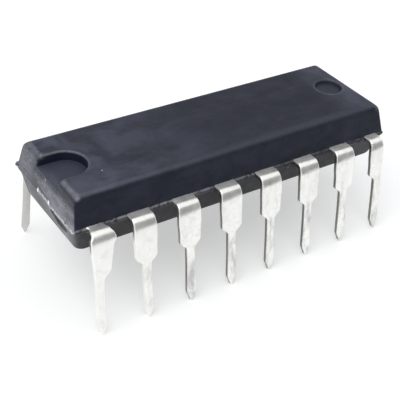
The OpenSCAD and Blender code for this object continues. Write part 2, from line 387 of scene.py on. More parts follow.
# Each row: radius, and height above the top face. A lip, a steep wall and a dished floor
mark_profile = np.array([
    [0.93, 0], [0.88, 0.010], [0.84, 0.022], [0.80, 0.020], [0.77, 0.004], [0.755, -0.03], [0.75, -0.07],
    [0.745, 0.02 - MARK_DEPTH], [0.735, -MARK_DEPTH - 0.01], [0.70, -MARK_DEPTH - 0.012],
    [0.66, -MARK_DEPTH], [0.5, -MARK_DEPTH + 0.004], [0.25, -MARK_DEPTH],
])
turn = np.radians(np.arange(0, 360, 3.75))
mark = np.stack([
    MARK_X + mark_profile[:, 0:1] * np.cos(turn),
    MARK_Y + mark_profile[:, 0:1] * np.sin(turn),
    UPPER_H + mark_profile[:, 1:2] + 0 * turn,
], axis=-1)
first = len(points)
points = np.concatenate([points, mark.reshape(-1, 3), [[MARK_X, MARK_Y, UPPER_H - MARK_DEPTH]]])
faces += [[first + v for v in f] for f in band(len(mark), len(turn))]
last_ring = first + (len(mark) - 1) * len(turn)
faces += [[last_ring + j, last_ring + (j + 1) % len(turn), len(points) - 1] for j in range(len(turn))]

# %% Fill the top face round the mark
rim = np.arange(first - count, first)
hole = np.arange(first, first + len(turn))
loops = [[Vector(p) for p in points[loop]] for loop in (rim, hole)]
top = np.concatenate([rim, hole])[np.array(tessellate_polygon(loops))]
a, b, c = (points[top[:, i]] for i in range(3))
up = np.cross(b - a, c - a)[:, 2]
top = np.where(up[:, None] > 0, top, top[:, ::-1])[np.abs(up) > 1e-9]
faces += top.tolist()
print("triangles in the top face:", len(top))


# %% Move the notch end's upper wall
SEAM_DEPTH, SEAM_DROP, SEAM_HALF = 0.05, 0.14, 0.03


def notch_end_shift(points):
    """How far the notch end stands further out: NOTCH_END_OUT above the parting line and nothing round
    the cut strip, less a seam exp(-u^2) under the notch's floor, where a piece of the mould was let in."""
    x, y, z = points.T
    at_end = np.interp(x, [-9.45, -9.1], [1, 0])
    clear = 1 - np.exp(-((y - 0.18) / 0.75) ** 6 - (z / 0.2) ** 4)
    seam = SEAM_DEPTH * np.exp(-((z - NOTCH_FLOOR + SEAM_DROP) / SEAM_HALF) ** 2) * (np.abs(y) < 1.3)
    return at_end * (NOTCH_END_OUT * clear * np.interp(z, [-0.3, 0], [0, 1]) - seam)


scar = gouge(points)
points[:, 0] += GOUGE_DEPTH * scar - notch_end_shift(points)
print("points in the gouge:", int((scar > 0).sum()))

# %% [markdown]
# ### Painted highlights and rubbed edges
#
# Edges where a moulded body sticks out are painted lighter: painted highlights, with some
# real rubbing from handling. They are the long front edge near lead 1, the edge beside the
# notch and the corner between them, and the notch's rim, with more on the mark's lip and at
# two corners. The amount is worked out for each point and kept with the mesh, and the
# material reads it. Blender can find edges by their curvature, but it would treat all of them
# alike. The same is done for the flash, with a painted highlight, for the gouge, dark resin
# with painted shade, and for the mark, with painted shade, so that each can have its own
# colour where its shape is.

# %% How much painted highlight and rubbing each point gets
def spot(x, y, centre, size):
    """A hill seen from above: exp(-(distance / size)^2)."""
    return np.exp(-((x - centre[0]) ** 2 + (y - centre[1]) ** 2) / size ** 2)


def highlight_and_rub(points):
    """Painted highlight with some rubbing, 0 to 1: the most of eight: five edges, each a bump in
    height times a share along it, the mark's lip, and two spots at corners."""
    x, y, z = points.T
    below = UPPER_H - z
    fillet = np.interp(below, [0, 0.01, 0.07, 0.16, 0.36, 0.44], [0, 0.55, 1, 0.9, 0.25, 0])
    # Painted highlight along the top of the front edge, strongest near lead 1
    front = np.interp(HALF_WIDTH + y, [0.05, 0.35, 0.75], [1, 1, 0])
    front *= np.interp(x, [-9.5, -8, -4, 2, 9], [0.7, 0.6, 0.3, 0.1, 0.1])
    front *= np.interp(below, [0, 0.02, 0.09, 0.15], [1, 1, 0.4, 0])
    # Weaker painted highlights along the back edge and the plain end's top edge
    rear = 0.2 * fillet * np.interp(HALF_WIDTH - y, [0.05, 0.35, 0.75], [1, 1, 0])
    plain_end = 0.45 * fillet * np.interp(HALF_LEN - x, [0.2, 0.45, 0.65], [1, 1, 0])
    # Painted highlight along the top edge of the notch end
    notch_end = 0.8 * np.interp(below, [0, 0.005, 0.03, 0.08, 0.14], [0.15, 0.6, 1, 0.6, 0])
    notch_end *= np.interp(x + HALF_LEN, [0.2, 0.45, 0.65], [1, 1, 0])
    notch_end *= np.interp(y, [-2.8, -1.3, 1.1, 3], [1, 0.8, 0.35, 0.3])
    # Painted highlight round the notch's rim, brighter on its far side
    from_rim = np.hypot(np.maximum(x - NOTCH_X, 0), y) - NOTCH_R
    rim = np.exp(-((from_rim - 0.05) / 0.06) ** 2) * (x < NOTCH_X + 1.6) * (below < 0.09)
    rim *= np.interp(y, [-0.5, 0.5], [0.08, 0.6])
    # Painted highlight on the mark's lip, brightest on the side towards -X and -Y, where the light falls
    toward_lit_side = np.cos(np.arctan2(y - MARK_Y, x - MARK_X) - np.radians(215))
    from_lip = np.hypot(x - MARK_X, y - MARK_Y) - 0.84
    lip = np.exp(-(from_lip / 0.05) ** 2) * (below < 0.02) * (0.16 + 0.22 * toward_lit_side)
    # Painted highlights: a spot at the notch end's front corner and one at the far corner of the notch's
    # mouth
    near_corner = 1.4 * spot(x, y, [-HALF_LEN + 0.36, -HALF_WIDTH + 0.48], 0.11)
    near_corner *= np.interp(below, [0, 0.1, 0.24], [1, 1, 0])
    far_mouth = 0.9 * spot(x, y, [-HALF_LEN + 0.42, NOTCH_R + 0.12], 0.12) * (below < 0.2)
    every = [front, rear, plain_end, notch_end, rim, lip, near_corner, far_mouth]
    return np.clip(np.maximum.reduce(every), 0, 1)


# %% Painted highlight on the flash
def flash_highlight(ring):
    """Painted highlight on the flash, 0 to 1 along one ring: all of the ridge at the notch end, but
    on the sides mostly the ledge's top, which faces up into the light, and less of it towards the
    plain end, away from the light."""
    z = ring[0, 2]
    amount = np.clip(flash(ring[:, :2], min(z, 0.09)) / 0.03 - 0.2, 0, 1)
    ledge_top = np.interp(z, [0.02, 0.09], [0.25, 1]) * np.interp(ring[:, 0], [-4, 3], [1, 0.3])
    return (-0.18 < z < 0.115) * amount * np.where(on_side(ring), ledge_top, 1)


def over_rings(values):
    """Numbers for every point: those of the rings, then none for the mark's points."""
    return np.pad(np.concatenate(values), (0, len(points) - count * len(values)))


# %% Make the body
moulded_body = make_piece("moulded_body", points, faces)
x, y, z = points.T
# How squarely each point faces out of the notch end: there that end is painted paler, painted light over real
# scuffs.
faces_end = np.clip((over_rings([-outward(r)[:, 0] for r in rings]) - 0.7) / 0.2, 0, 1)
faces_end *= np.interp(UPPER_H - z, [0, 0.28], [0.4, 1]) * (x < -HALF_LEN + 0.5)
# Values for the material: the gouge, the flash's painted highlight, painted highlights with some rubbing,
# where the mark and the notch floor get painted shade, and the notch end.
layers = {
    "scar": scar,
    "flash": over_rings([flash_highlight(r) for r in rings]),
    "highlight_and_rub": highlight_and_rub(points),
    "pin_mark": (np.hypot(x - MARK_X, y - MARK_Y) < 0.76) & (z > 1),
    "notch_floor": (np.abs(z - NOTCH_FLOOR) < 0.02) & (np.abs(y) < NOTCH_R) & (x < NOTCH_X + NOTCH_R),
    "notch_end": faces_end,
}
for name, values in layers.items():
    point_values(moulded_body, name, values)
    print(name, "reaches", int(np.count_nonzero(values)), "points")
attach(moulded_body, "root")
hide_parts("body")

# %% [markdown]
# ## The leads
#
# Each lead is one flat strip: a finger inside the body, a flat that comes out, a tight bend
# and a leg that leans out, wide down to its shoulder and narrow below. They could be cut
# from a sheet and bent with a modifier, but the bend would stretch the widths. Instead one
# section, a rectangle with softened edges, is carried along the strip between its two edge
# curves, so that the widths and the bend each have their own simple formula.

# %% Sizes of the leads
ROW, PITCH, SPACING = 8, 2.54, 7.62
SPLAY = np.radians(8)
# The bend's centre-line radius in the CAD, and those of its tight and its slack part here
BEND_R, TIGHT_R, SLACK_R = 0.12 + LEAD_T / 2, 0.065 + LEAD_T / 2, 0.9
DROP = FRAME_Z
# Half widths
SHOULDER, NARROW, TIP = 1.22 / 2, 0.51 / 2, 0.18 / 2
FINGER, FINGER_TIP = 0.44 / 2, 0.3 / 2
SHOULDER_Z, SLOPE, TIP_LEN = -2.01, 0.3, 0.55
SLOPE_Z, POINT_Z = SHOULDER_Z - SLOPE, -DROP + TIP_LEN
# The fingers: gap between them, neck inside the wall, where they turn, and their straight ends
GAP, NECK, TURN, TIP_PITCH, TIP_STRAIGHT = 0.25, 0.35, 0.9, 1.2, 0.35
PADDLE_X, PADDLE_Y, ARM = 2.2, 1.4, 0.6 / 2
print("leads:", 2 * ROW, "thickness:", round(float(LEAD_T), 3))


# %% The finger inside the body
def from_middle(k, pitch):
    """Place of the k-th of a quarter's leads along the row, from the corner, at this pitch."""
    return (ROW / 2 - k - 0.5) * pitch


def finger_edges(k):
    """The two edges of a finger, from its tip to the wall, in the quarter +X +Y. Each stop is a
    middle, a half width towards the chip's middle and one towards its corner; an edge point is
    the middle moved square to the route by that half width, longer at a turn."""
    x = from_middle(k, PITCH)
    outer = NARROW if k == 0 else SHOULDER
    long_side = k >= 2
    tip = np.array([from_middle(k, TIP_PITCH), PADDLE_Y + GAP] if long_side else
                   [PADDLE_X + GAP, ARM - FINGER_TIP + (k + 1) * (2 * FINGER_TIP + GAP)])
    back = np.array([0, TIP_STRAIGHT] if long_side else [TIP_STRAIGHT, 0])
    turn_y = HALF_WIDTH - TURN - (2 * FINGER if k == 0 else 0)
    stops = [([x, HALF_WIDTH], SHOULDER, outer), ([x, HALF_WIDTH - NECK], SHOULDER, outer),
             ([x, HALF_WIDTH - NECK - FINGER], FINGER, FINGER), ([x, turn_y], FINGER, FINGER)]
    if not long_side:
        stops.append(([x - (2 - k) * TURN, tip[1] + 2 * FINGER], FINGER, FINGER))
    stops += [(tip + back, FINGER_TIP, FINGER_TIP), (tip, FINGER_TIP, FINGER_TIP)]
    middle = np.array([s[0] for s in stops], float)
    halves = np.array([s[1:] for s in stops])
    step = unit(np.diff(middle, axis=0))
    before, after = step[[0, *range(len(step))]], step[[*range(len(step)), -1]]
    d = unit(before + after)
    reach = 1 / np.maximum(0.5, (d * after).sum(axis=1))
    right = np.stack([-d[:, 1], d[:, 0]], axis=1) * reach[:, None]
    inner, outer = middle - right * halves[:, :1], middle + right * halves[:, 1:]
    return inner[::-1], outer[::-1]


# %% How wide the strip is
EVEN = ((0, 0), (-1, 0))


def half_width(z, half, stub, bulge=EVEN):
    """Half width at height z on one side: the flat, the stub of the cut tie, the shoulder, its
    slope and the narrow part, and the point with its nib. Bulge adds what one side has of its own."""
    wide = half > NARROW
    steps = [
        (0.2, half), (-0.1, half),
        (-0.3, half + 0.5 * stub), (-0.5, half + stub), (-0.95, half + stub), (-1.2, half + 0.35 * stub),
        (-1.5, half), (SHOULDER_Z + 0.1, half),
        (SHOULDER_Z, half - 0.012 * wide), (SHOULDER_Z - 0.05, half - 0.05 * wide),
        (SLOPE_Z, NARROW + 0.025 * wide), (SLOPE_Z - 0.12, NARROW - 0.012),
        (-3.4, NARROW - 0.015), (-4.7, NARROW + 0.008),
        (POINT_Z, NARROW + 0.01), (POINT_Z - 0.08, NARROW - 0.012),
        (-DROP + 0.14, TIP + 0.02), (-DROP + 0.1, TIP), (-DROP + 0.03, TIP - 0.01), (-DROP, TIP - 0.035),
    ]
    zs, halves = np.array(steps)[::-1].T
    extra_z, extra = np.array(bulge)[::-1].T
    return np.interp(z, zs, halves) + np.interp(z, extra_z, extra)


# %% Where the strip runs outside the body
def strip_route():
    """Middle line (y, z), the height to read the width at, and the direction of the thickness.
    The bend is a tight arc to 35 degrees and a slack one to the splay: each step of angle da
    moves r sin(a) da outwards and r cos(a) da down. The route is then slid along y until its
    leg is on the CAD's line. On the leg each section is level, so the thickness there is
    1 / cos(splay) along y and the tip ends flat on the board."""
    tight, slack = np.linspace(90, 35, 12), np.linspace(35, np.degrees(SPLAY), 10)
    a = np.concatenate([tight, slack[1:]]) * np.pi / 180
    step, mid = -np.diff(a), (a[1:] + a[:-1]) / 2
    r = np.where(mid > np.radians(35), TIGHT_R, SLACK_R)
    arc = np.stack([np.cumsum(r * np.sin(mid) * step), -np.cumsum(r * np.cos(mid) * step)], axis=1)
    arc = np.concatenate([[[0, 0]], arc])
    crest = SPACING / 2 - BEND_R * (1 - np.sin(SPLAY)) / np.cos(SPLAY) + BEND_R * np.cos(SPLAY)
    foot = crest - (arc[-1, 1] + BEND_R * (1 - np.sin(SPLAY))) * np.tan(SPLAY)
    arc[:, 0] += foot - arc[-1, 0]
    flat = np.array([[HALF_WIDTH + 0.04, 0], [arc[0, 0] - 0.02, 0]])
    zs = np.unique(np.concatenate([
        np.linspace(arc[-1, 1] - 0.04, -1.85, 15),
        SHOULDER_Z + np.array([0.1, 0, -0.05]),
        np.linspace(SHOULDER_Z - 0.12, SLOPE_Z, 4),
        SLOPE_Z - np.array([0.06, 0.12]),
        np.linspace(-2.7, -4.95, 12),
        POINT_Z - np.array([0, 0.04, 0.08, 0.2, 0.32]),
        -DROP + np.array([0.14, 0.12, 0.1, 0.03, 0]),
    ]))[::-1]
    leg = np.stack([arc[-1, 0] + (arc[-1, 1] - zs) * np.tan(SPLAY), zs], axis=1)
    line = np.concatenate([flat, arc, leg])
    level = np.where(np.arange(len(line)) < len(flat), arc[0, 0] - line[:, 0], line[:, 1])
    upright, square = [[0, 1.0]] * len(flat), np.stack([np.cos(a), np.sin(a)], axis=1)
    thick = np.concatenate([upright, square, [[1 / np.cos(SPLAY), 0]] * len(leg)])
    return line, level, thick


route, level, thickness = strip_route()
print("stations outside the body:", len(route), "outermost y:", round(float(route[-1, 0]), 3))

# %% [markdown]
# ### Carry the section along the strip
#
# A punched strip has a rolled edge on the side the punch came from, here the outer face, so
# the section's outer corners are rounded and its inner ones only cut. The faces of the
# sheared edges get a second material, because sheared metal takes the tin more thinly than
# the flat faces do. They are dark and bare next to the body, and dark on the leads away from
# the notch end, where the darkness is painted shade for the shadowed floor that they reflect.
# No two leads are quite alike: the ties between them were cut unevenly, and some legs lean
# or are a little short.

# %% The section, and what differs from lead to lead
ROLL, FACE_ROLL = 0.045, 0.075
H = LEAD_T / 2
# One edge from the inner face to the outer one: distance in from the edge, height in the thickness
EDGE = [[ROLL, -H], [0.3 * ROLL, -H + 0.3 * ROLL], [0, -H + ROLL]]
EDGE += [[a * FACE_ROLL, H - b * FACE_ROLL] for a, b in [(0, 1), (0.134, 0.5), (0.5, 0.134), (1, 0)]]
# The edge towards the corner, marked 1, and back along the one towards the middle, marked 0
SECTION = np.array([[1, *p] for p in EDGE] + [[0, *p] for p in EDGE[::-1]])
SHEARED_COLUMNS = [1, 2, 10, 11]

rng = np.random.default_rng(16)
stubs = rng.uniform(0.015, 0.05, (17, 2))
# How far each lead's tip leans along the row
lean = rng.uniform(-0.02, 0.02, 17)
lean[[1, 16]] = -0.13, -0.08
# The height of a leg as a share of its full height: four tips stand a little clear of the floor
SHORTER = {6: 0.985, 7: 0.982, 8: 0.974, 16: 0.978}
# Lead 1's tie was torn off rather than cut. Each pair: height, added half width
TORN_IN = [(0.4, 0), (0.05, 0.12), (-0.1, 0.3), (-0.3, 0.36), (-0.42, 0.32), (-0.6, 0.2),
           (-0.9, 0.16), (-1.3, 0.11), (-1.9, 0.03), (SHOULDER_Z - 0.05, 0), (-3, 0)]
TORN_OUT = [(0.4, -0.1), (0, -0.02), (-0.2, 0.09), (-0.5, 0.1), (-0.95, 0.09), (-1.3, 0.05),
            (-2.2, 0), (-3, 0)]
print("points in one section:", len(SECTION))


# %% The surface of one lead
def lead_edge(finger, across):
    """One edge of a whole lead in space: the finger's, which is level, then the strip's."""
    level_finger = np.column_stack([finger, np.zeros(len(finger))])
    return np.concatenate([level_finger, np.column_stack([across, route])])


def lead_surface(n):
    """Points and faces of lead n. Stations run from the finger's tip to the leg's tip; a point is
    its edge, moved in along the width and out along the thickness by the section's numbers."""
    place = n - 1 if n <= ROW else 2 * ROW - n
    k = min(place, ROW - 1 - place)
    x = from_middle(k, PITCH)
    inner, outer = finger_edges(k)
    bulge_in, bulge_out = (TORN_IN, TORN_OUT) if n == 1 else (EVEN, EVEN)
    edge_in = lead_edge(inner, x - half_width(level, SHOULDER, stubs[n, 0], bulge_in))
    outer_half = NARROW if k == 0 else SHOULDER
    edge_out = lead_edge(outer, x + half_width(level, outer_half, stubs[n, 1], bulge_out))
    upright = np.tile([0, 0, 1.0], (len(inner), 1))
    thick = np.concatenate([upright, np.column_stack([np.zeros(len(route)), thickness])])
    across = edge_out - edge_in
    width = np.linalg.norm(across, axis=1)[:, None]
    across /= width
    side, inset, rise = SECTION.T
    inset = np.minimum(inset, 0.42 * width) * (2 * side - 1)
    edge = np.where(side[:, None] > 0, edge_out[:, None, :], edge_in[:, None, :])
    grid = edge - across[:, None, :] * inset[..., None] + thick[:, None, :] * rise[:, None]
    grid = grid * [1 if place >= ROW / 2 else -1, -1 if n <= ROW else 1, 1]
    grid[..., 0] += lean[n] * np.clip(-grid[..., 2] / DROP, 0, 1)
    grid[..., 2] *= SHORTER.get(n, 1.0)
    stations, around = grid.shape[:2]
    faces = band(stations, around)
    caps = [list(range(around))[::-1], list(range((stations - 1) * around, stations * around))]
    return grid.reshape(-1, 3), faces + caps, np.tile(rise < 0, stations)


# %% Make the sixteen leads
leads = []
for n in range(1, 2 * ROW + 1):
    lead_points, lead_faces, is_inner = lead_surface(n)
    lead = make_piece(f"tinned_lead_{n}", lead_points, lead_faces, sharp=40)
    point_values(lead, "inner_face", is_inner)
    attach(lead, "root")
    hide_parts(f"lead_{n}")
    face = np.arange(len(lead_faces))
    cut_through = np.isin(face % len(SECTION), SHEARED_COLUMNS) | (face >= len(lead_faces) - 2)
    leads.append((lead, cut_through.astype(np.int32)))

# %% [markdown]
# ## Burrs and specks
#
# The arm that held the paddle in its strip was snapped off at the notch end, and a bright
# burr of metal is left at each end of the cut. Crumbs of epoxy stick to the walls near the
# leads. Each is a ball pressed flat and dented, a few dozen faces, copied by adding a place
# and a size to one set of points.

# %% Little dented balls
def crumbs(places, sizes, seed):
    """One small ball for each place: a grid of 5 x 8 points on a sphere and a point at each pole, each
    axis scaled by its size and each radius changed by up to a quarter."""
    rng = np.random.default_rng(seed)
    lat = np.radians(np.linspace(-60, 60, 5))[:, None]
    lon = np.radians(np.arange(0, 360, 45))[None, :]
    ball = np.stack([np.cos(lat) * np.cos(lon), np.cos(lat) * np.sin(lon), np.sin(lat) + 0 * lon], axis=-1)
    ball = np.concatenate([ball.reshape(-1, 3), [[0, 0, -1], [0, 0, 1]]])
    radii = 1 + rng.uniform(-0.25, 0.25, (len(places), len(ball), 1))
    pts = places[:, None, :] + ball * radii * sizes[:, None, :]
    around = [(j, (j + 1) % 8) for j in range(8)]
    one = band(5, 8) + [[b, a, 40] for a, b in around] + [[32 + a, 32 + b, 41] for a, b in around]
    faces = [[v + i * len(ball) for v in f] for i in range(len(places)) for f in one]
    return pts.reshape(-1, 3), faces


# Each row: the burr's middle, then its half sizes
BURRS = np.array([
    [-HALF_LEN - 0.02, 0.76, 0.02, 0.05, 0.06, 0.12],
    [-HALF_LEN - 0.02, 0.72, 0.1, 0.04, 0.05, 0.07],
    [-HALF_LEN - 0.03, -0.47, 0.03, 0.06, 0.06, 0.16],
    [-HALF_LEN - 0.02, -0.45, -0.06, 0.05, 0.05, 0.09],
    [HALF_LEN + 0.01, 0.82, 0.0, 0.04, 0.06, 0.08],
    [HALF_LEN + 0.01, -0.42, -0.02, 0.04, 0.07, 0.07],
])
cut_burrs = make_piece("cut_burrs", *crumbs(BURRS[:, :3], BURRS[:, 3:], 5))
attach(cut_burrs, "root")

# %% Specks of epoxy
SPECKS = 46
rng = np.random.default_rng(21)
gap, lead_side = rng.integers(0, ROW - 1, SPECKS), rng.choice([-1, 1], SPECKS)
x = (gap - 3) * PITCH + lead_side * rng.uniform(0.35, 0.62, SPECKS)
side, z = rng.choice([-1, 1], SPECKS), rng.uniform(-0.35, 0.1, SPECKS)
y = side * (HALF_WIDTH + 0.03 - np.abs(z) * np.tan(SIDE_DRAFT))
# The larger ones, on the notch end and the top face. Each row: the middle, then the half sizes
LARGER = np.array([
    [-HALF_LEN, 0.74, 0.47, 0.04, 0.05, 0.05],
    [-HALF_LEN + 0.04, -2.05, 0.78, 0.05, 0.07, 0.07],
    [-HALF_LEN + 0.04, 1.03, 0.8, 0.02, 0.04, 0.03],
    [-7.31, -1.33, UPPER_H, 0.035, 0.03, 0.012],
    [-HALF_LEN + 0.08, 0.05, 1.05, 0.03, 0.04, 0.04],
])
places = np.concatenate([np.column_stack([x, y, z]), LARGER[:, :3]])
sizes = np.concatenate([rng.uniform(0.015, 0.04, (SPECKS, 3)), LARGER[:, 3:]])
epoxy_specks = make_piece("epoxy_specks", *crumbs(places, sizes, 8))
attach(epoxy_specks, "root")

# %% [markdown]
# ## Materials
#
# Every finish is worked out from Object coordinates, which are metres in the chip's own
# frame. So a noise of scale 4000 has grains of a quarter of a millimetre. Nodes could be laid
# out by hand in the editor, but a small builder keeps each material to the few lines that
# make it what it is.

# %% A small builder for nodes
class Nodes:
    """Short ways to add nodes to one tree."""

    def __init__(self, tree):
        self.tree = tree

    def node(self, kind, links=(), **settings):
        """A node with its settings, and its inputs linked or set by name or number."""
        n = self.tree.nodes.new(kind)
        for key, value in settings.items():
            setattr(n, key, value)
        for key, value in dict(links).items():
            if isinstance(value, bpy.types.NodeSocket):
                self.tree.links.new(value, n.inputs[key])
            else:
                n.inputs[key].default_value = value
        return n

    def maths(self, kind, *values):
        """The values joined one after another, each result held between 0 and 1."""
        result = values[0]
        for value in values[1:]:
            pair = {0: result, 1: value}
            result = self.node("ShaderNodeMath", pair, operation=kind, use_clamp=True).outputs[0]
        return result

    def times(self, *values):
        return self.maths("MULTIPLY", *values)

    def most(self, *values):
        return self.maths("MAXIMUM", *values)

    def vector(self, kind, a, b):
        return self.node("ShaderNodeVectorMath", {0: a, 1: b}, operation=kind).outputs[0]

    def remap(self, value, a, b, to_a=0.0, to_b=1.0, smooth=False):
        kind = "SMOOTHSTEP" if smooth else "LINEAR"
        links = {0: value, 1: a, 2: b, 3: to_a, 4: to_b}
        return self.node("ShaderNodeMapRange", links, interpolation_type=kind).outputs[0]

    def part(self, vector, name):
        """The X, Y or Z of a vector."""
        return self.node("ShaderNodeSeparateXYZ", {"Vector": vector}).outputs[name]


# %% A small builder for finishes
class Finish(Nodes):
    """A material with its shader, which reads places in Object coordinates."""

    def __init__(self, name, **sockets):
        self.material = bpy.data.materials.new(name)
        self.material.use_nodes = True
        super().__init__(self.material.node_tree)
        self.shader = self.tree.nodes["Principled BSDF"]
        self.place = self.tree.nodes.new("ShaderNodeTexCoord").outputs["Object"]
        for socket, value in sockets.items():
            self.shader.inputs[socket.replace("_", " ")].default_value = value

    def noise(self, scale, detail=4.0, rough=0.5, warp=0.0, place=None, output="Fac"):
        links = {"Vector": place or self.place, "Scale": scale, "Detail": detail}
        links |= {"Roughness": rough, "Distortion": warp}
        return self.node("ShaderNodeTexNoise", links).outputs[output]

    def stretched(self, x, y, z):
        """Object coordinates scaled along each axis, for marks that run one way."""
        return self.node("ShaderNodeMapping", {"Vector": self.place, "Scale": (x, y, z)}).outputs["Vector"]

    def axis(self, name):
        return self.part(self.place, name)

    def attribute(self, name):
        return self.node("ShaderNodeAttribute", attribute_name=name).outputs["Fac"]

    def colours(self, value, *stops):
        """A colour ramp: (place, (r, g, b)) for each stop."""
        ramp = self.node("ShaderNodeValToRGB", {"Fac": value})
        while len(ramp.color_ramp.elements) < len(stops):
            ramp.color_ramp.elements.new(0.5)
        for element, (where, colour) in zip(ramp.color_ramp.elements, stops):
            element.position = where
            element.color = (*colour, 1)
        return ramp.outputs["Color"]

    def mix(self, value, a, b):
        """Colour a where value is 0 and b where it is 1. Either may be plain (r, g, b)."""
        a, b = ((*c, 1) if isinstance(c, tuple) else c for c in (a, b))
        return self.node("ShaderNodeMix", {0: value, 6: a, 7: b}, data_type="RGBA").outputs[2]

    def bump(self, height, distance, strength=1.0, over=None):
        links = {"Height": height, "Distance": distance, "Strength": strength}
        if over is not None:
            links["Normal"] = over
        return self.node("ShaderNodeBump", links).outputs["Normal"]

    def paint(self, colour, roughness=None, normal=None):
        """Links the shader's colour and, where they are given, its roughness and its normal."""
        for socket, source in (("Base Color", colour), ("Roughness", roughness), ("Normal", normal)):
            if source is not None:
                self.tree.links.new(source, self.shader.inputs[socket])

    def show(self, source):
        """Puts any shader on the surface in place of the usual one."""
        self.tree.links.new(source, self.tree.nodes["Material Output"].inputs["Surface"])


def dress(piece, *finishes):
    """Gives a piece these finishes as its material slots."""
    piece.data.materials.clear()
    for f in finishes:
        piece.data.materials.append(f.material)
    print(piece.name, "wears", ", ".join(f"{f.material.name} ({len(f.tree.nodes)} nodes)" for f in finishes))


# %% [markdown]
# ### Moulding compound
#
# The compound is epoxy full of glass powder, blackened with soot: matte, charcoal, with a
# blue tint. It is never one colour. Broad clouds show where it flowed, fine grain comes
# from the spark-eroded mould, and fingers have left a haze near the plain end of the top.
# Painted light lies over this: the top is painted lighter towards the notch end and along its
# front edge, the notch end is painted paler where light falls on it, over real scuffs and
# dust, and edges, corners and the flash carry painted highlights; the notch floor, the mark
# and the gouge get painted shade. A picture of such a wall could be wrapped round the body,
# but noise at three scales gives the same at any size. The layers are mixed one over another.

# %% Moulding compound
epoxy = Finish("moulding_compound", Roughness=0.5, Specular_IOR_Level=0.34)
lead_plane = FRAME_Z * MM
along, across, height = epoxy.axis("X"), epoxy.axis("Y"), epoxy.axis("Z")
clouds = epoxy.noise(260, 5, 0.6, 0.6)
smears = epoxy.noise(1300, 4, 0.65, 0.5, epoxy.stretched(0.6, 1, 1))
tone = epoxy.maths("ADD", epoxy.remap(clouds, 0.35, 0.65, 0, 0.5), epoxy.remap(smears, 0.35, 0.65, 0, 0.5))
upper_half = epoxy.colours(tone, (0.0, (0.002, 0.004, 0.014)), (1.0, (0.017, 0.020, 0.040)))
lower_half = epoxy.colours(tone, (0.0, (0.020, 0.020, 0.0245)), (1.0, (0.034, 0.034, 0.0385)))
parting = epoxy.remap(height, lead_plane - 0.00006, lead_plane + 0.00002)
body_colour = epoxy.mix(parting, lower_half, upper_half)

# %% Painted light and haze on the top face
# The top is painted lighter in the haze colour towards the notch end, which is painted light, and along the
# front edge, which is a painted highlight; near the plain end the same colour is haze. The notch floor gets
# painted shade.
LIGHT_AND_HAZE, NOTCH_SHADE = (0.056, 0.062, 0.096), (0.04, 0.046, 0.072)
patches = epoxy.remap(epoxy.noise(560, 3, 0.58, 0.7), 0.40, 0.60, 0.2, 1.0)
lit_near_notch = epoxy.times(epoxy.remap(along, 0.0, -0.0080), patches)
mottles = epoxy.remap(epoxy.noise(520, 3, 0.55, 0.6), 0.40, 0.60, 0.3, 1.0)
near_plain_end = epoxy.times(epoxy.remap(along, 0.0066, 0.0090, smooth=True), mottles)
by_front_edge = epoxy.remap(across, -0.0022, -0.0025, smooth=True)
front_edge_highlight = epoxy.times(by_front_edge, epoxy.remap(along, -0.005, -0.008, 0.36, 0.85))
on_top = epoxy.remap(height, lead_plane + 0.00155, lead_plane + 0.00166)
lit_and_hazy = epoxy.mix(epoxy.times(on_top, epoxy.most(lit_near_notch, near_plain_end, front_edge_highlight)), body_colour, LIGHT_AND_HAZE)
unworn = epoxy.mix(epoxy.attribute("notch_floor"), lit_and_hazy, NOTCH_SHADE)
print("nodes so far:", len(epoxy.tree.nodes))

# %% Painted light and scuffs on the notch end
# The notch end is painted paler in the scuff colour, painted light where light from the left falls on it,
# over real scuffs and dust. It stays darker in a painted band just under its top edge and is palest towards
# the front corner.
SCUFF_AND_LIGHT, DUST = (0.32, 0.33, 0.37), (0.5, 0.51, 0.54)
scuffs = epoxy.noise(1500, 6, 0.75, 0.8, epoxy.stretched(1, 0.6, 1.4))
low_down = epoxy.remap(height, lead_plane + 0.00122, lead_plane + 0.00075, 0.1, 1.0, smooth=True)
to_corner = epoxy.remap(across, 0.0016, -0.0020, 0.42, 1.0, smooth=True)
far_side = epoxy.remap(across, 0.0006, 0.0018, 0.0, 0.62, smooth=True)
off_corner = epoxy.remap(across, -0.0029, -0.0021, 0.25, 1.0)
above_foot = epoxy.remap(height, lead_plane - 0.0004, lead_plane - 0.0001)
swept = epoxy.remap(epoxy.noise(900, 4, 0.6, 0.6, epoxy.stretched(1, 0.45, 1.5)), 0.38, 0.6, 0.62, 1.0)
reached = epoxy.most(epoxy.times(low_down, to_corner), far_side)
worn_and_lit = epoxy.times(epoxy.most(off_corner, above_foot), reached, swept)
lit_worn_end = epoxy.times(epoxy.attribute("notch_end"), worn_and_lit)
scuffed_and_lit = epoxy.mix(epoxy.times(lit_worn_end, epoxy.remap(scuffs, 0.36, 0.6, 0.42, 1.0)), unworn, SCUFF_AND_LIGHT)
dusted = epoxy.mix(epoxy.times(lit_worn_end, epoxy.remap(epoxy.noise(7000, 2), 0.64, 0.7, 0, 0.8)), scuffed_and_lit, DUST)
print("nodes so far:", len(epoxy.tree.nodes))

# %% Painted highlights on edges and flash, painted shade in the mark and the gouge
HIGHLIGHT_AND_RUB_TONE, MARK_SHADE, GOUGE_RESIN_AND_SHADE = (0.23, 0.235, 0.27), (0.024, 0.028, 0.044), (0.022, 0.025, 0.025)
SIDE_FLASH_HIGHLIGHT, NOTCH_END_FLASH_HIGHLIGHT = (0.24, 0.247, 0.26), (0.66, 0.67, 0.7)
patchy = epoxy.remap(epoxy.noise(3200, 4, 0.6), 0.3, 0.6, 0.5, 1.0)
# Painted highlights on edges, corners, the notch's rim and the mark's lip, with some rubbing
highlit_and_rubbed = epoxy.mix(epoxy.times(epoxy.attribute("highlight_and_rub"), patchy), dusted, HIGHLIGHT_AND_RUB_TONE)
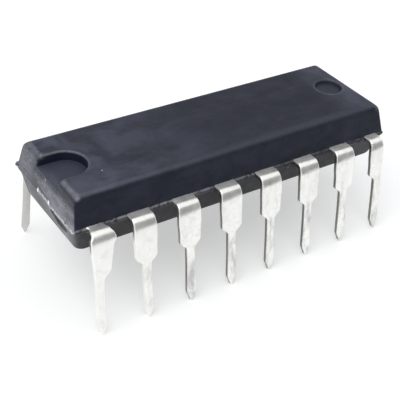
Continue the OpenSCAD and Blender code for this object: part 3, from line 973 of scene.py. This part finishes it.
# Painted shade: the mark's floor is painted in a tone of its own for the darker reflection of its smoother
# floor
marked = epoxy.mix(epoxy.attribute("pin_mark"), highlit_and_rubbed, MARK_SHADE)
# Painted highlight on the flash: pale along the ridge at the notch end and the top of the side ledge, broken
# up by noise
broken_highlight = epoxy.times(epoxy.attribute("flash"), epoxy.remap(epoxy.noise(5000, 3), 0.32, 0.5))
ragged = epoxy.mix(broken_highlight, marked, epoxy.mix(epoxy.attribute("notch_end"), SIDE_FLASH_HIGHLIGHT, NOTCH_END_FLASH_HIGHLIGHT))
# Inside the gouge the end keeps a dark tone, scraped resin with painted shade in the hollow, instead of the
# painted light round it
inside_gouge = epoxy.remap(epoxy.attribute("scar"), 0.1, 0.5)
gouge_cut_and_shade = epoxy.times(inside_gouge, epoxy.remap(scuffs, 0.3, 0.6, 1.0, 0.72))
sheen = epoxy.remap(epoxy.noise(1200, 4), 0.3, 0.7, 0.42, 0.58)
relief = epoxy.bump(epoxy.noise(9000, 3, 0.6), 0.000014, 0.8, epoxy.bump(clouds, 0.00006, 0.6))
epoxy.paint(epoxy.mix(gouge_cut_and_shade, ragged, GOUGE_RESIN_AND_SHADE), sheen, relief)
dress(moulded_body, epoxy)

# %% [markdown]
# ### Tin on the leads
#
# The leads were dipped in tin, which froze in soft pools: a bright metal whose reflections
# wander. The colour hardly changes, except that the inner faces are painted greyer, painted
# shade for the shadowed floor under the body that they reflect. What changes is the slope of
# the surface and how sharp the reflection is, so most of the work is in the bump and the roughness.

# %% Tin
tin = Finish("tin_plating", Metallic=0.76)
warped = tin.noise(1100, 3, 0.5, 1.0)
pushed = tin.vector("MULTIPLY", tin.noise(2400.0, 3.0, output="Color"), (0.0004, 0.0004, 0.0004))
crystals = {"Vector": tin.vector("ADD", tin.place, pushed), "Scale": 2300}
to_edge = tin.node("ShaderNodeTexVoronoi", crystals, feature="DISTANCE_TO_EDGE").outputs["Distance"]
streaks = tin.noise(2200, 4, 0.6, 0.5, tin.stretched(1, 1, 0.35))
# Below the shoulders the tin ran thin, so the marks show more there, least on lead 1
thin = tin.remap(tin.axis("Z"), 0.0037, 0.0030, 0.2, 1.0, smooth=True)
away = tin.remap(tin.axis("X"), -0.0078, -0.0050, 0.25, 1.0)
marks = tin.times(thin, away, tin.remap(streaks, 0.44, 0.66))
outlines = tin.times(away, tin.remap(to_edge, 0.13, 0.0, 0, 0.32), tin.remap(warped, 0.42, 0.6))
pools = (0.26, (0.86, 0.86, 0.81)), (0.42, (0.97, 0.965, 0.93)), (0.6, (0.995, 0.99, 0.97))
outlined = tin.mix(outlines, tin.colours(warped, *pools), (0.66, 0.66, 0.63))
streaked = tin.mix(marks, outlined, (0.58, 0.58, 0.575))
# Painted shade: the inner faces, towards the body, are painted greyer for the shadowed floor under the body
# that they reflect
shaded_inner = tin.mix(tin.times(tin.attribute("inner_face"), 0.85), streaked, (0.62, 0.62, 0.6))
slow = tin.bump(tin.noise(620, 2, 0.4, 0.4), 0.00006, 0.5)
pitted = tin.bump(tin.noise(3600, 3, 0.5), 0.000014, 0.5, slow)
tin.paint(shaded_inner, tin.remap(tin.noise(1600, 3), 0.3, 0.7, 0.27, 0.38), pitted)

# %% Tin on the sheared edges
sheared = Finish("tin_on_sheared_edge", Metallic=1.0)
shear_marks = sheared.noise(3000, 3, 0.6, 0.0, sheared.stretched(1, 1, 0.15))
bare_and_shaded_colour = sheared.colours(shear_marks, (0.3, (0.16, 0.16, 0.15)), (0.7, (0.36, 0.36, 0.34)))
covered = sheared.colours(shear_marks, (0.3, (0.9, 0.9, 0.88)), (0.7, (0.98, 0.98, 0.97)))
# Dark where the cut metal is bare next to the body, and dark on the leads away from the notch end: there it
# is painted shade for the shadowed floor that they reflect
near_body = sheared.remap(sheared.axis("Z"), 0.0044, 0.0051, smooth=True)
bare_and_shaded_share = sheared.most(near_body, sheared.remap(sheared.axis("X"), -0.0058, -0.0046))
grooves = sheared.bump(shear_marks, 0.00002, 0.6)
sheared.paint(sheared.mix(bare_and_shaded_share, covered, bare_and_shaded_colour), sheared.remap(shear_marks, 0.3, 0.7, 0.36, 0.5), grooves)

for lead, cut_through in leads:
    dress(lead, tin, sheared)
    lead.data.polygons.foreach_set("material_index", cut_through)
    lead.data.update()

# %% [markdown]
# ### The pieces inside
#
# The moulding hides the paddle, the glue, the die and its wires, but they are real, and a
# cut through the chip would show them. They keep their CAD shapes and only get a finish.
# The paddle is rolled nickel-iron strip, whose grain runs along it, and its cut end, which
# does show, is dull.

# %% Strip and burrs
CUT_END, CUT_INSIDE = 0.00968, 0.00965
strip = Finish("nickel_iron_strip", Metallic=1.0)
rolled = strip.noise(5200, 3, 0.6, 0.0, strip.stretched(0.04, 1, 1))
torn_metal = strip.noise(7000, 4, 0.7)
rolled_colour = strip.colours(rolled, (0.35, (0.5, 0.49, 0.46)), (0.65, (0.66, 0.65, 0.62)))
torn_colour = strip.colours(torn_metal, (0.4, (0.22, 0.226, 0.235)), (0.62, (0.5, 0.51, 0.53)))
notch_cut = strip.remap(strip.axis("X"), -CUT_INSIDE, -CUT_END)
cut = strip.maths("ADD", notch_cut, strip.remap(strip.axis("X"), CUT_INSIDE, CUT_END))
worn_roll = strip.remap(rolled, 0.3, 0.7, 0.34, 0.5)
strip.paint(strip.mix(cut, rolled_colour, torn_colour), worn_roll, strip.bump(torn_metal, 0.00002, 0.6))
dress(frame["nodes"]["die_paddle"], strip)

burr = Finish("bright_burr", Metallic=1.0)
broken_metal = burr.noise(9000, 2)
shiny = burr.colours(broken_metal, (0.35, (0.8, 0.8, 0.8)), (0.65, (0.95, 0.95, 0.94)))
burr.paint(shiny, burr.remap(broken_metal, 0.3, 0.7, 0.2, 0.4))
dress(cut_burrs, burr)

# %% Epoxy crumbs, glue and gold
crumb = Finish("epoxy_crumb", Roughness=0.6)
dusty = (0.4, (0.07, 0.072, 0.08)), (0.6, (0.6, 0.61, 0.62))
crumb.paint(crumb.colours(crumb.noise(2600, 2), *dusty))
dress(epoxy_specks, crumb)

glue = Finish("silver_filled_glue", Metallic=0.7, Roughness=0.5)
flakes = glue.noise(16000, 3, 0.7)
silvery = glue.colours(flakes, (0.35, (0.45, 0.45, 0.43)), (0.65, (0.78, 0.78, 0.75)))
glue.paint(silvery, normal=glue.bump(flakes, 0.00001, 0.8))
dress(frame["nodes"]["die_attach"], glue)

gold = Finish("drawn_gold_wire", Metallic=1.0)
drawn = gold.noise(12000, 2, 0.5, 0.0)
golden = gold.colours(drawn, (0.3, (0.86, 0.62, 0.24)), (0.7, (0.98, 0.76, 0.36)))
gold.paint(golden, gold.remap(drawn, 0.3, 0.7, 0.18, 0.3))
for n in range(1, 2 * ROW + 1):
    dress(frame["nodes"][f"bond_wire_{n}"], gold)

# %% [markdown]
# ### The die
#
# The die is polished silicon with a pattern of circuits on top: blocks of slightly
# different grey-green and violet, divided by paler tracks. Brick textures at two sizes give
# blocks and tracks from the Object coordinates, and the sides are left plain.

# %% Silicon
silicon = Finish("patterned_silicon", Roughness=0.22, Specular_IOR_Level=0.8)


def bricks(first, second, tracks, size, track_width):
    """Blocks of two colours in rows, with tracks between them. Sizes in metres."""
    return silicon.node("ShaderNodeTexBrick", {
        "Vector": silicon.place, "Color1": (*first, 1), "Color2": (*second, 1), "Mortar": (*tracks, 1),
        "Scale": 1.0, "Mortar Size": track_width, "Brick Width": size[0], "Row Height": size[1],
    }).outputs["Color"]


blocks = bricks((0.06, 0.075, 0.09), (0.11, 0.09, 0.13), (0.3, 0.3, 0.27), (0.0005, 0.00023), 0.000012)
cells = bricks((0.07, 0.1, 0.1), (0.12, 0.11, 0.15), (0.2, 0.22, 0.2), (0.00011, 0.00006), 0.000006)
pattern = silicon.mix(silicon.remap(silicon.noise(700, 2), 0.45, 0.55), blocks, cells)
upward = silicon.part(silicon.node("ShaderNodeNewGeometry").outputs["Normal"], "Z")
silicon.paint(silicon.mix(silicon.remap(upward, 0.5, 0.9), (0.09, 0.09, 0.1), pattern))
dress(frame["nodes"]["die"], silicon)

# %% [markdown]
# ## The floor, the light and the camera
#
# The photograph shows the chip on plain white, standing on the tips of its leads. A wide
# pale floor keeps its soft shadow. The light is that of a light tent: even from all round,
# with one broad soft source high on the left. Bright metal shows what stands round it, so
# two cards stand there as in a studio: a dark one in front, where the photographer was,
# which draws the dark band under each bend, and a grey one behind. They are seen in
# reflections only, and throw neither light nor shade.

# %% Floor
def flat(name, corners):
    """A flat piece of the stage, from four corners in metres."""
    mesh = bpy.data.meshes.new(name)
    mesh.from_pydata(corners, [], [(0, 1, 2, 3)])
    thing = add(name, mesh)
    return thing


def seen_directly(nodes):
    """1 for rays from the camera, a mirror or a glass, 0 for the light that falls on things."""
    ray = nodes.node("ShaderNodeLightPath").outputs
    return nodes.most(ray["Is Camera Ray"], ray["Is Glossy Ray"], ray["Is Transmission Ray"])


SIDE, LIFT = 1.6, 0.36
floor = flat("floor", [(-SIDE, -SIDE, 0), (SIDE, -SIDE, 0), (SIDE, SIDE, 0), (-SIDE, SIDE, 0)])
paper = Finish("white_paper", Roughness=0.9, Specular_IOR_Level=0.1)
pale = (0.3, (0.81, 0.81, 0.81)), (0.7, (0.83, 0.83, 0.83))
paper.paint(paper.colours(paper.noise(40, 3), *pale))
strength = paper.remap(seen_directly(paper), 0, 1, 0, LIFT)
lift = paper.node("ShaderNodeEmission", {"Color": (1, 1, 1, 1), "Strength": strength})
both = paper.node("ShaderNodeAddShader", {0: paper.shader.outputs[0], 1: lift.outputs[0]})
paper.show(both.outputs[0])
dress(floor, paper)


# %% Cards
def card(name, corners, grey):
    """A card that only reflections see, glowing as bright as its grey: a painted reflection, not a lamp."""
    thing = flat(name, [tuple(v * MM for v in c) for c in corners])
    finish = Finish(name + "_paper")
    glow = finish.node("ShaderNodeEmission", {"Color": (grey, grey, grey, 1), "Strength": 1.0})
    finish.show(glow.outputs[0])
    dress(thing, finish)
    for sees in ("visible_camera", "visible_diffuse", "visible_shadow", "visible_transmission"):
        setattr(thing, sees, False)


# Corners in millimetres above the floor
card("dark_card", [(-40, -30, 0.2), (65, -30, 0.2), (65, -30, 24), (-40, -30, 24)], 0.1)
card("grey_card", [(95, 42, 22), (15, 100, 22), (5, 88, 110), (85, 30, 110)], 0.5)

# %% World and lamps
world = bpy.data.worlds.new("light_tent")
bpy.context.scene.world = world
world.use_nodes = True
tent = Nodes(world.node_tree)
sky = tent.tree.nodes["Background"]
sky.inputs["Color"].default_value = (0.97, 0.985, 1.0, 1)
sky.inputs["Strength"].default_value = 0.6
white = tent.node("ShaderNodeBackground", {"Color": (1, 1, 1, 1)})
shown = tent.node("ShaderNodeMixShader", {0: seen_directly(tent), 1: sky.outputs[0], 2: white.outputs[0]})
tent.tree.links.new(shown.outputs[0], tent.tree.nodes["World Output"].inputs["Surface"])

key = add("key", bpy.data.lights.new("key", "SUN"))
key.data.energy = 1.15
key.data.angle = np.radians(60)
key.rotation_euler = Vector((0.5, 0.25, -0.8)).to_track_quat("-Z", "Y").to_euler()
print("key light:", key.data.energy, "and sky:", round(sky.inputs["Strength"].default_value, 2))

# %% [markdown]
# ### The camera
#
# The camera was solved from the photograph: the lead pitch of 2.54 mm and the row spacing
# of 7.62 mm are known, so the corners of the body and the tips of the leads give its
# direction, its place 48 mm from the middle of the chip, and a small roll.

# %% Camera
AZIMUTH, ELEVATION, ROLL_ANGLE = np.radians([-36.456, 35.926, 4.931])
# The point that the fit turned about, and the camera's distance from it, in millimetres
TARGET, DISTANCE = Vector((15.2581, 21.1581, -22.3878 + FRAME_Z)), 82.179
PICTURE, FOCAL_PIXELS, SENSOR = 400, 890.32, 36
level = np.cos(ELEVATION)
back = Vector((np.sin(AZIMUTH) * level, -np.cos(AZIMUTH) * level, np.sin(ELEVATION)))
level_right = (-back).cross(Vector((0, 0, 1))).normalized()
level_up = level_right.cross(-back)
right = level_right * np.cos(ROLL_ANGLE) + level_up * np.sin(ROLL_ANGLE)
above = level_up * np.cos(ROLL_ANGLE) - level_right * np.sin(ROLL_ANGLE)
camera = add("camera", bpy.data.cameras.new("camera"))
pose = Matrix((right, above, back)).transposed().to_4x4()
pose.translation = (TARGET + back * DISTANCE) * MM
camera.matrix_world = pose
camera.data.sensor_width = SENSOR
camera.data.lens = FOCAL_PIXELS / PICTURE * SENSOR
camera.data.clip_start, camera.data.clip_end = 0.001, 20
bpy.context.scene.camera = camera
bpy.context.scene.view_settings.view_transform = "Standard"
print("camera at, mm:", [round(v / MM, 2) for v in pose.translation], "lens:", round(camera.data.lens, 2))
